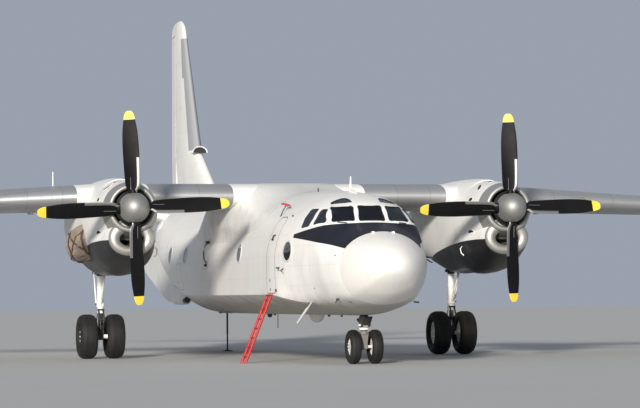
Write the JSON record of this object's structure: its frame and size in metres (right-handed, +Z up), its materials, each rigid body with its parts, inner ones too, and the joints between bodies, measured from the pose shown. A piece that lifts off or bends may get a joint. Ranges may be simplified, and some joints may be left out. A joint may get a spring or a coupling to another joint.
{
  "type": "twin turboprop transport aircraft",
  "caption": "High-wing twin turboprop transport aircraft on its landing gear, with turning propellers and wheels, nose steering, a tail ramp and moving control surfaces.",
  "frame": {"origin": "on the ground under the middle of the bounding box, on the centreline", "axes": "+X to the aircraft's port side, +Y aft, +Z up"},
  "size_m": [29.2, 23.8, 8.575],
  "materials": {
    "white_skin": "satin",
    "white_fairing": "satin",
    "bare_skin": "satin",
    "cockpit_glass": "gloss",
    "engine_block": "matte",
    "brown_canvas": "matte",
    "propeller_paint": "satin",
    "tyre_rubber": "matte",
    "wheel_paint": "satin",
    "gear_steel": "satin",
    "dark_steel": "satin",
    "red_paint": "satin",
    "cockpit_trim": "matte"
  },
  "bodies": {
    "airframe": {"radome": "white_fairing", "cockpit_shell": "white_skin", "cockpit_glazing": "cockpit_glass", "crew_door": "white_skin", "cabin_shell_front": "white_skin", "cabin_shell": "white_skin", "cabin_shell_rear": "white_skin", "cockpit_bulkhead": "cockpit_trim", "wing_saddle": "white_skin", "pilot_seat_port": "cockpit_trim", "pilot_seat_starboard": "cockpit_trim", "instrument_panel": "cockpit_trim", "rear_fuselage": "white_skin", "cabin_floor": "white_skin", "tail_cone": "white_skin", "fin": "white_skin", "wing_centre": "bare_skin", "outer_wing_port": "bare_skin", "outer_flap_port": "bare_skin", "inner_flap_port": "bare_skin", "tailplane_port": "white_skin", "ventral_strake_port": "white_skin", "nacelle_port": "white_skin", "cowl_port": "white_skin", "engine_port": "engine_block", "exhaust_cover_port": "brown_canvas", "main_leg_port": "gear_steel", "outer_wing_starboard": "bare_skin", "outer_flap_starboard": "bare_skin", "inner_flap_starboard": "bare_skin", "tailplane_starboard": "white_skin", "ventral_strake_starboard": "white_skin", "nacelle_starboard": "white_skin", "cowl_starboard": "white_skin", "engine_starboard": "engine_block", "exhaust_cover_starboard": "brown_canvas", "main_leg_starboard": "gear_steel", "nose_leg": "gear_steel", "boarding_ladder": "red_paint", "tail_stay": "dark_steel"},
    "propeller_port": {"spinner_port": "bare_skin", "propeller_port": "propeller_paint"},
    "propeller_starboard": {"spinner_starboard": "bare_skin", "propeller_starboard": "propeller_paint"},
    "main_wheels_port": {"main_wheels_port": "wheel_paint", "main_tyre_port_inner": "tyre_rubber", "main_tyre_port_outer": "tyre_rubber"},
    "main_wheels_starboard": {"main_wheels_starboard": "wheel_paint", "main_tyre_starboard_inner": "tyre_rubber", "main_tyre_starboard_outer": "tyre_rubber"},
    "nose_steering": {"nose_fork": "gear_steel"},
    "nose_wheels": {"nose_wheels": "wheel_paint", "nose_tyre_port": "tyre_rubber", "nose_tyre_starboard": "tyre_rubber"},
    "cargo_ramp": {"cargo_ramp": "white_skin"},
    "rudder": {"rudder": "white_skin"},
    "elevator_port": {"elevator_port": "white_skin"},
    "elevator_starboard": {"elevator_starboard": "white_skin"},
    "aileron_port": {"aileron_port": "bare_skin"},
    "aileron_starboard": {"aileron_starboard": "bare_skin"}
  },
  "joints": [
    {"name": "propeller_port_spin", "type": "hinge", "parent": "airframe", "child": "propeller_port", "pos_m": [3.95, -6.35, 3.112], "axis": [0, 1, 0], "continuous": true},
    {"name": "main_wheels_port_roll", "type": "hinge", "parent": "airframe", "child": "main_wheels_port", "pos_m": [3.95, -1.8, 0.48], "axis": [1, 0, 0], "continuous": true},
    {"name": "propeller_starboard_spin", "type": "hinge", "parent": "airframe", "child": "propeller_starboard", "pos_m": [-3.95, -6.35, 3.112], "axis": [0, 1, 0], "continuous": true},
    {"name": "main_wheels_starboard_roll", "type": "hinge", "parent": "airframe", "child": "main_wheels_starboard", "pos_m": [-3.95, -1.8, 0.48], "axis": [1, 0, 0], "continuous": true},
    {"name": "nose_steering", "type": "hinge", "parent": "airframe", "child": "nose_steering", "pos_m": [0, -9.45, 0.64], "axis": [0, 0, 1], "range_deg": [-45, 45]},
    {"name": "nose_wheels_roll", "type": "hinge", "parent": "nose_steering", "child": "nose_wheels", "pos_m": [0, -9.45, 0.33], "axis": [1, 0, 0], "continuous": true},
    {"name": "ramp_lowering", "type": "hinge", "parent": "airframe", "child": "cargo_ramp", "pos_m": [0, 4.12, 0.945], "axis": [-1, 0, 0], "range_deg": [0, 32]},
    {"name": "rudder_turn", "type": "hinge", "parent": "airframe", "child": "rudder", "pos_m": [0, 10, 3.9], "axis": [0, 0.088, 0.9961], "range_deg": [-25, 25]},
    {"name": "elevator_port_turn", "type": "hinge", "parent": "airframe", "child": "elevator_port", "pos_m": [0.9, 9.67562, 3.38503], "axis": [0.9856, 0.0656, 0.1561], "range_deg": [-15, 30]},
    {"name": "elevator_starboard_turn", "type": "hinge", "parent": "airframe", "child": "elevator_starboard", "pos_m": [-4.75, 9.93175, 3.99481], "axis": [0.9856, -0.0656, -0.1561], "range_deg": [-15, 30]},
    {"name": "aileron_port_turn", "type": "hinge", "parent": "airframe", "child": "aileron_port", "pos_m": [9.56, -1.41905, 3.19735], "axis": [0.9994, -0.0016, -0.0336], "range_deg": [-16, 24]},
    {"name": "aileron_starboard_turn", "type": "hinge", "parent": "airframe", "child": "aileron_starboard", "pos_m": [-14.15, -1.4262, 3.04318], "axis": [0.9994, 0.0016, 0.0336], "range_deg": [-24, 16]}
  ],
  "couplings": [
    {"joint": "elevator_starboard_turn", "follows": "elevator_port_turn", "ratio": 1},
    {"joint": "aileron_starboard_turn", "follows": "aileron_port_turn", "ratio": -1}
  ]
}
